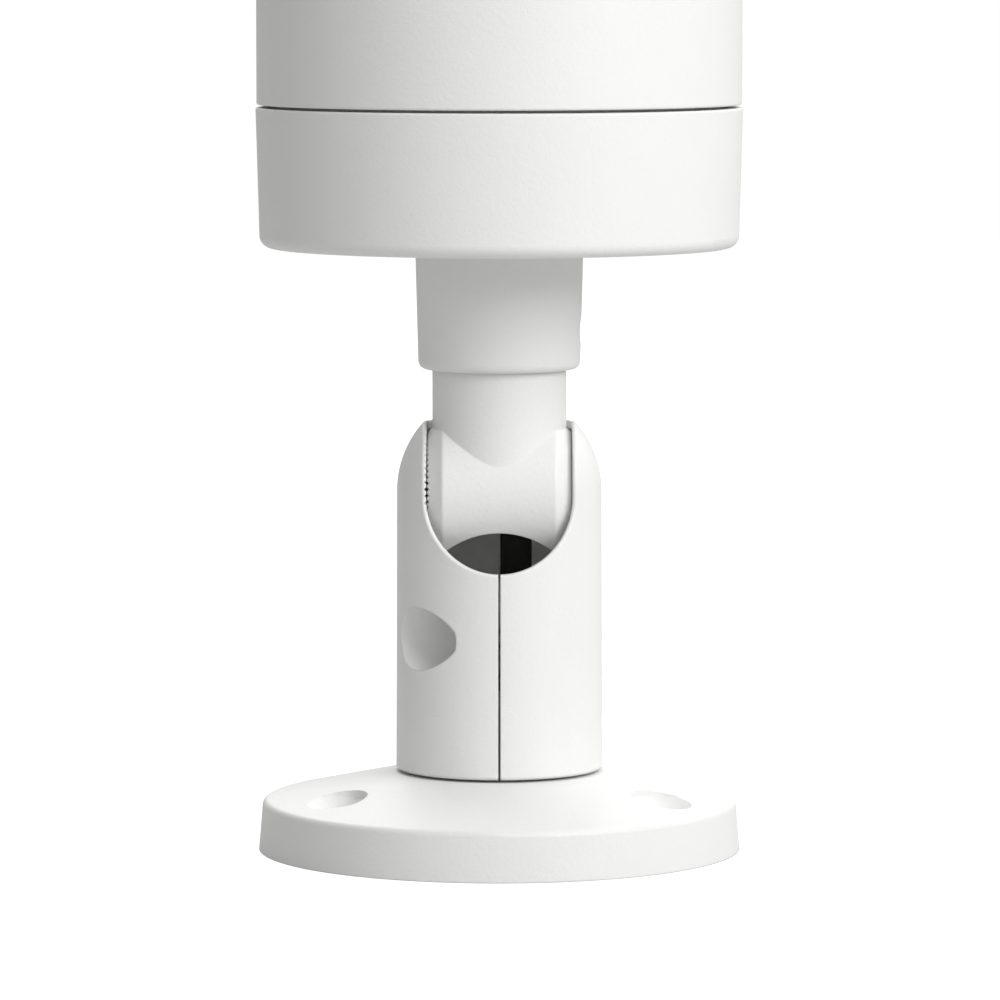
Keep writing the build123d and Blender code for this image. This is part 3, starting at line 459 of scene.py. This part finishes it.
# %% [markdown]
# ## Inside the diodes
#
# A clear diode shows a bright stamped cup with a dark square chip in it, and a second, thinner post beside
# it. The cup is turned from one outline, like a tiny lampshade. Light is bent by the resin's dome, which
# makes the cup look larger from the front.

# %% Diode cups and chips
LED_COUNT = 18
LED_CIRCLE = 20.5
LED_FIRST = math.radians(10)
CUP_RISE = 1.0
POST_INSET = 1.75

CUP = [(0.35, 0.0), (0.6, 0.3), (1.25, 1.7), (1.4, 1.75), (1.4, 1.55), (0.8, 0.2), (0.8, -0.1)]


def add_diode(mesh, angle, base):
    """A cup, the chip in it and the post beside it, at an angle round the ring."""
    centre_x, centre_y = polar(LED_CIRCLE, angle)
    post_x, post_y = polar(LED_CIRCLE - POST_INSET, angle)
    add_turned(mesh, CUP, (centre_x, centre_y, base), steps=20)
    add_block(mesh, (centre_x, centre_y, base + 0.15), (0.9, 0.9, 0.3), 0.04, angle, finish=1)
    add_block(mesh, (post_x, post_y, base + 0.7), (0.45, 0.45, 1.6), 0.08, angle)


def diode_insides():
    mesh = bmesh.new()
    for step in range(LED_COUNT):
        add_diode(mesh, LED_FIRST + 2 * math.pi * step / LED_COUNT, top_of("ir_led_board") + CUP_RISE)
    finish_piece("diode_cups", mesh, "camera", ("socket_steel", "part_black"))


diode_insides()

# %% [markdown]
# ## Parts on the boards
#
# The resistors and capacitors are ceramic bricks with tinned ends, soldered flat on their pads. On the diode
# board they stand in two rings, between the diodes' rows and the edges, where they show through the window.
# On the hidden boards they stand on a loose grid that keeps clear of the large parts, with a seeded random
# choice of size and direction.

# %% Board parts
SIZES = ((1.6, 0.8, 0.5), (2.0, 1.25, 0.7), (1.0, 0.5, 0.4))
BODY_SHARE = 0.62
SOLDER_RISE = 0.03
BRICK_FINISHES = ("part_ceramic", "part_black", "solder_tin", "gold_pad")
OUTER_RING, INNER_RING = 25.9, 15.2


def add_brick(mesh, place, size, turn, finish):
    """A ceramic body, its two tinned ends and the solder pads under them."""
    x, y, z = place
    length, width, height = size
    middle = z + height / 2 + SOLDER_RISE
    add_block(mesh, (x, y, middle), (length * BODY_SHARE, width, height), 0.05, turn, finish)
    end_length = length * (1 - BODY_SHARE) / 2
    reach = length * (1 + BODY_SHARE) / 4
    for side in (-reach, reach):
        end_x, end_y = x + side * math.cos(turn), y + side * math.sin(turn)
        tin = (end_length, width * 1.02, height * 1.04)
        add_block(mesh, (end_x, end_y, middle), tin, 0.05, turn, finish=2)
        pad = (end_length * 1.5, width * 1.2, 2 * SOLDER_RISE)
        add_block(mesh, (end_x, end_y, z + SOLDER_RISE), pad, 0.01, turn, finish=3)


def diode_board_parts():
    mesh = bmesh.new()
    top = top_of("ir_led_board")
    for step in range(LED_COUNT):
        angle = 2 * math.pi * step / LED_COUNT
        near_post = step % 6 == 0
        near_sensor = step in (13, 14)
        if not near_post and not near_sensor:
            add_brick(mesh, (*polar(OUTER_RING, angle), top), SIZES[1], angle + math.pi / 2, finish=1)
        if step % 2:
            add_brick(mesh, (*polar(INNER_RING, angle), top), SIZES[0], angle, finish=0)
    finish_piece("diode_board_parts", mesh, "camera", BRICK_FINISHES)


GRID_STEPS = range(-6, 7)
GRID_X, GRID_Y = 4.2, 3.9
SHIFT_X, SHIFT_Y = 0.6, 0.5
CLEARANCE = 2.0
FILLED_SHARE, BLACK_SHARE = 0.6, 0.25
BOARD_REACH, BOARD_TOP_Y = 26.0, 22.0


def is_clear(x, y, boxes):
    """True when a spot is on the board and away from every box of x0, y0, x1, y1 in millimetres."""
    blocked = any(x0 - CLEARANCE < x < x1 + CLEARANCE and y0 - CLEARANCE < y < y1 + CLEARANCE
                  for x0, y0, x1, y1 in boxes)
    return not blocked and math.hypot(x, y) < BOARD_REACH and y < BOARD_TOP_Y


def hidden_board_parts(name, board, kept_clear, seed):
    """Small parts over a board's top face, outside the boxes of kept_clear."""
    pick = random.Random(seed)
    mesh = bmesh.new()
    top = top_of(board)
    for column in GRID_STEPS:
        for row in GRID_STEPS:
            x = GRID_X * column + pick.uniform(-SHIFT_X, SHIFT_X)
            y = GRID_Y * row + pick.uniform(-SHIFT_Y, SHIFT_Y)
            size, turn, chosen = pick.choice(SIZES), pick.choice((0.0, math.pi / 2)), pick.random()
            if chosen < FILLED_SHARE and is_clear(x, y, kept_clear):
                add_brick(mesh, (x, y, top), size, turn, finish=int(chosen < BLACK_SHARE))
    finish_piece(name, mesh, "camera", BRICK_FINISHES)


PILLARS = [(x - 3, y - 3, x + 3, y + 3) for x in (-21, 21) for y in (-13, 13)]
diode_board_parts()
hidden_board_parts("main_board_parts", "main_board",
                   PILLARS + [(-17, -6, 17, 11), (-12, -27, 12, -22)], seed=3)
hidden_board_parts("power_board_parts", "power_board",
                   PILLARS + [(-9, -18, 7, -4), (-18, 2, 0, 12), (6, 4, 16, 14), (-7, 14, 7, 20)], seed=5)
hidden_board_parts("sensor_board_parts", "sensor_board", PILLARS + [(-11, -9, 11, 17)], seed=8)

# %% [markdown]
# ## Screws of the diode board
#
# Three pan-head screws hold the diode board on its posts. The head is turned, and its cross recess is cut
# with two crossed blades by a boolean whose result is kept in the mesh. The blades pass through each other,
# so the boolean is told to expect that.

# %% Diode board screws
PAN_HEAD = [(0.0, 0.0), (2.0, 0.0), (2.05, 0.35), (1.9, 0.8), (1.5, 1.15), (0.9, 1.32), (0.0, 1.38)]
POST_CIRCLE = 25.5
POST_COUNT = 3
BLADE = (1.9, 0.36, 1.4)
BLADE_RISE = 1.3


def pan_head_screws():
    heads, blades = bmesh.new(), bmesh.new()
    top = top_of("ir_led_board")
    for step in range(POST_COUNT):
        angle = 2 * math.pi * step / POST_COUNT
        x, y = polar(POST_CIRCLE, angle)
        add_turned(heads, PAN_HEAD, (x, y, top + 0.02), steps=32)
        for turn in (angle, angle + math.pi / 2):
            add_block(blades, (x, y, top + BLADE_RISE), BLADE, 0.05, turn)
    screws = finish_piece("diode_board_screws", heads, "camera", ("screw_steel",))
    cutter_data = bpy.data.meshes.new("cross_blades")
    blades.to_mesh(cutter_data)
    blades.free()
    cutter = bpy.data.objects.new("cross_blades", cutter_data)
    bpy.context.scene.collection.objects.link(cutter)
    cut = screws.modifiers.new("cross_recess", "BOOLEAN")
    cut.object = cutter
    cut.operation = "DIFFERENCE"
    cut.solver = "EXACT"
    cut.use_self = True
    graph = bpy.context.evaluated_depsgraph_get()
    shaped = bpy.data.meshes.new_from_object(screws.evaluated_get(graph))
    screws.modifiers.clear()
    screws.data = shaped
    bpy.data.objects.remove(cutter)
    print("faces with the recess:", len(shaped.polygons))


pan_head_screws()

# %% [markdown]
# ## Capacitor tops
#
# The two electrolytic capacitors on the power board end in a thin aluminium lid with a pressed cross, which
# opens first if the pressure rises. The lid is turned, and the cross is four shallow ribs laid on it.

# %% Capacitor tops
CAPACITORS = ((-14, 6), (-4, 8))
RIB = (5.2, 0.25, 0.1)
RIB_TURNS = (math.radians(30), math.radians(120))
LID = [(0.0, 0.0), (3.4, 0.0), (3.75, 0.12), (3.9, 0.05), (3.9, -0.2)]


def capacitor_tops():
    mesh = bmesh.new()
    top = top_of("power_parts") + 0.02
    for x, y in CAPACITORS:
        add_turned(mesh, LID, (x, y, top), steps=40)
        for turn in RIB_TURNS:
            add_block(mesh, (x, y, top + 0.02), RIB, 0.03, turn)
    finish_piece("capacitor_tops", mesh, "camera", ("bare_aluminium",))


capacitor_tops()

# %% [markdown]
# ## Floor, light and camera
#
# The floor stands for a light table, the pale glowing sheet that product photographers use for white goods.
# It lights the undersides softly. A real sheet would be as bright to the lens as to the object. This one has
# two strengths, chosen by a light path node: a weak glow for the object, and a strong one for the lens, so
# that it looks white with hardly a shadow.
# The key light is a large soft box high on the right. Two more stand behind, so that the base's top and the
# barrel's edges stay bright, and a weak one in front lifts the shadows.

# %% Floor
FLOOR_HALF = 20.0
FLOOR_SHADE = "#A0A0A0"
FLOOR_SPECKLE_MM = 40.0
GLOW = 0.20
GLOW_SEEN = 0.88


def studio_floor():
    """A plain pale sheet that glows a little, and looks white to the lens."""
    mesh = bmesh.new()
    bmesh.ops.create_grid(mesh, x_segments=1, y_segments=1, size=FLOOR_HALF)
    data = bpy.data.meshes.new("studio_floor")
    mesh.to_mesh(data)
    mesh.free()
    floor = bpy.data.objects.new("studio_floor", data)
    bpy.context.scene.collection.objects.link(floor)
    material, place = new_material("pale_floor")
    rough = spread(material, noise(material, place, FLOOR_SPECKLE_MM), 0.8, 0.9)
    ray = add_node(material, "ShaderNodeLightPath")
    glow = spread(material, ray.outputs["Is Camera Ray"], GLOW, GLOW_SEEN)
    surface(material, {"Base Color": linear(FLOOR_SHADE), "Roughness": rough, "Specular IOR Level": 0.0,
                       "Emission Color": WHITE, "Emission Strength": glow})
    data.materials.append(material)


studio_floor()
print("floor glow:", GLOW, "on the object,", GLOW_SEEN, "to the lens")

# %% Lights
CENTRE = Vector((0.0, 0.0, 0.08))
AIR_STRENGTH = 0.36
SOFT_BOXES = [
    # name, angle right of the front, angle above the floor, distance m, width m, power W
    ("key_right", 44, 32, 1.2, 0.85, 12.1),
    ("back_right", 140, 40, 1.2, 0.8, 5.0),
    ("back_left", -165, 45, 1.2, 0.8, 7.5),
    ("fill_front", 0, 18, 1.3, 0.9, 1.3),
]


def soft_box(name, around_deg, above_deg, distance, width, power):
    """A square area light aimed at the camera's stand. Angles are in degrees, 0 straight in front."""
    data = bpy.data.lights.new(name, "AREA")
    data.shape = "SQUARE"
    data.size = width
    data.energy = power
    lamp = bpy.data.objects.new(name, data)
    around, above = math.radians(around_deg), math.radians(above_deg)
    way = Vector((math.sin(around) * math.cos(above), -math.cos(around) * math.cos(above), math.sin(above)))
    lamp.location = CENTRE + distance * way
    lamp.rotation_euler = (-way).to_track_quat("-Z", "Y").to_euler()
    bpy.context.scene.collection.objects.link(lamp)


for row in SOFT_BOXES:
    soft_box(*row)

world = bpy.data.worlds.new("studio_air")
bpy.context.scene.world = world
world.use_nodes = True
background = world.node_tree.nodes["Background"]
background.inputs["Color"].default_value = WHITE
background.inputs["Strength"].default_value = AIR_STRENGTH
print("soft boxes:", len(SOFT_BOXES))

# %% [markdown]
# The camera looks slightly down from the front with a long lens, so that the verticals stay almost parallel.
# It frames the stand, the neck and the rear end of the barrel.

# %% Camera
LENS_MM, SENSOR_MM = 220.3, 36.0
STANDPOINT = (0.0001, -0.884, 0.131)
AIM = Vector((0.0001, 0.0, 0.0508))

camera_data = bpy.data.cameras.new("studio_camera")
camera_data.lens = LENS_MM
camera_data.sensor_width = SENSOR_MM
camera = bpy.data.objects.new("studio_camera", camera_data)
camera.location = STANDPOINT
camera.rotation_euler = (AIM - camera.location).to_track_quat("-Z", "Y").to_euler()
bpy.context.scene.collection.objects.link(camera)
bpy.context.scene.camera = camera
bpy.context.scene.view_settings.view_transform = "Standard"
print("camera stands", round(camera.location.length, 3), "m from the base")
